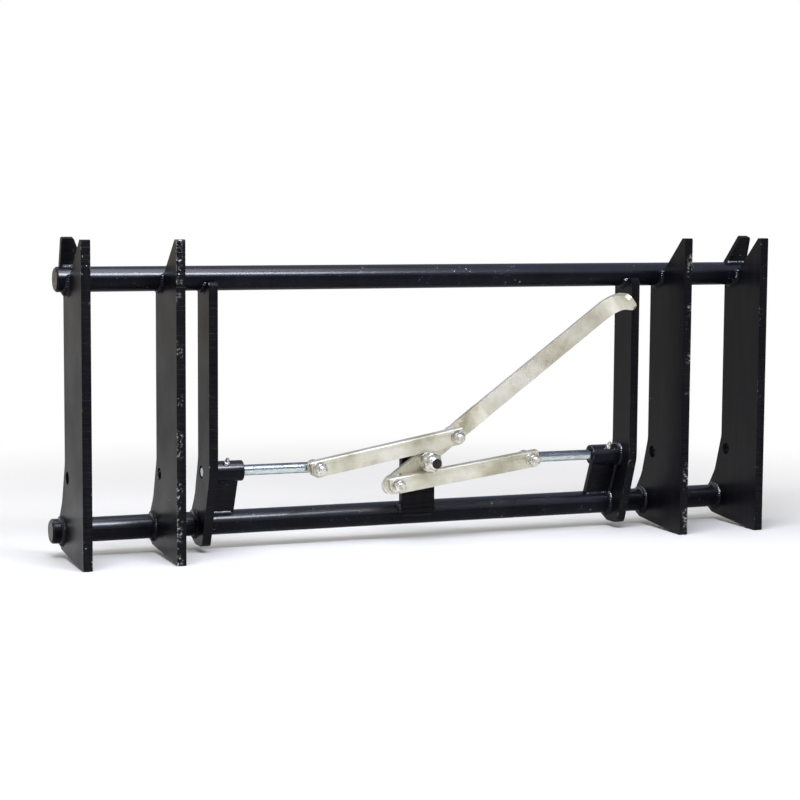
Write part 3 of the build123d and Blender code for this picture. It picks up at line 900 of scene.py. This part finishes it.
# white to the camera, pale in reflections, warm low down and blue above, and a soft even fill for
# everything else
skyLook = {"fill": 0.45, "fillTint": "#f6f7fa", "low": 0.62, "lowTint": "#fff3df", "high": 0.3,
           "highTint": "#d3deff", "turns": (0.02, 0.36), "white": 1.0}


def paleStudio(look):
    world = bpy.data.worlds.new("paleStudio")
    world.use_nodes = True
    tree = world.node_tree
    tree.nodes.clear()
    rays = addNode(tree, "LightPath")
    skyPlace = addNode(tree, "TexCoord").outputs["Generated"]
    direction = addNode(tree, "SeparateXYZ", {}, {"Vector": skyPlace})
    upward = addNode(tree, "MapRange", span(look["turns"]), {"Value": direction.outputs["Z"]})
    tint = addNode(tree, "MixRGB", {"Color1": linear(look["lowTint"]), "Color2": linear(look["highTint"])},
                   {"Fac": upward.outputs[0]})
    glow = addNode(tree, "MapRange", span((0, 1), (look["low"], look["high"])), {"Value": upward.outputs[0]})
    fill = addNode(tree, "Background", {"Color": linear(look["fillTint"]), "Strength": look["fill"]})
    mirrored = addNode(tree, "Background", {}, {"Color": tint.outputs[0], "Strength": glow.outputs[0]})
    backdrop = addNode(tree, "Background", {"Color": (1, 1, 1, 1), "Strength": look["white"]})
    glossMix = addNode(tree, "MixShader", {},
                       {0: rays.outputs["Is Glossy Ray"], 1: fill.outputs[0], 2: mirrored.outputs[0]})
    seen = addNode(tree, "Math", {"operation": "MAXIMUM"},
                   {0: rays.outputs["Is Camera Ray"], 1: rays.outputs["Is Transmission Ray"]})
    cameraMix = addNode(tree, "MixShader", {},
                        {0: seen.outputs[0], 1: glossMix.outputs[0], 2: backdrop.outputs[0]})
    addNode(tree, "OutputWorld", {}, {"Surface": cameraMix.outputs[0]})
    return world


bpy.context.scene.world = paleStudio(skyLook)

lampLook = {
    "frontSoftbox": {"at": (-0.5, -1.15, 1.4), "aim": (0, 0, -0.15), "size": (2.4, 0.42), "watts": 47,
                     "tint": "#e9eeff"},
    "overheadSoftbox": {"at": (-0.3, -0.2, 2.1), "aim": (0, 0, -0.2), "size": (2.4, 1.2), "watts": 17,
                        "tint": "#f4f5fb"},
    "frontLeftFill": {"at": (-2.4, -2.2, 0.9), "aim": (0, 0, -0.2), "size": (1.0, 1.0), "watts": 5,
                      "tint": "#fff8ee"},
    "rearLeftWash": {"at": (-2.4, 2.4, 0.8), "aim": (0, 0, -0.2), "size": (1.4, 1.4), "watts": 8,
                     "tint": "#f6ead2"},
}
for name, look in lampLook.items():
    light = bpy.data.lights.new(name, "AREA")
    light.shape = "RECTANGLE"
    light.size, light.size_y = look["size"]
    light.energy = look["watts"]
    light.color = linear(look["tint"])[:3]
    lamp = bpy.data.objects.new(name, light)
    bpy.context.scene.collection.objects.link(lamp)
    lamp.location = look["at"]
    lamp.rotation_euler = (Vector(look["aim"]) - Vector(look["at"])).to_track_quat("-Z", "Y").to_euler()

# fitted to the photo
cameraLook = {"at": (-1.3680, -3.2456, 0.1338), "right": (0.92597, -0.37755, 0.00631),
              "up": (0.03069, 0.09192, 0.99529), "view": (0.37636, 0.92141, -0.0967),
              "lens": 94.72, "sensor": 36}
camera = bpy.data.objects.new("camera", bpy.data.cameras.new("camera"))
bpy.context.scene.collection.objects.link(camera)
camera.data.lens = cameraLook["lens"]
camera.data.sensor_width = cameraLook["sensor"]
right, up, view = (Vector(cameraLook[key]).normalized() for key in ("right", "up", "view"))
turnedTo = Matrix((right, up, -view)).transposed().to_4x4()
camera.matrix_world = Matrix.Translation(cameraLook["at"]) @ turnedTo
bpy.context.scene.camera = camera
bpy.context.scene.view_settings.view_transform = "Standard"
print("stage: floor, light and camera")
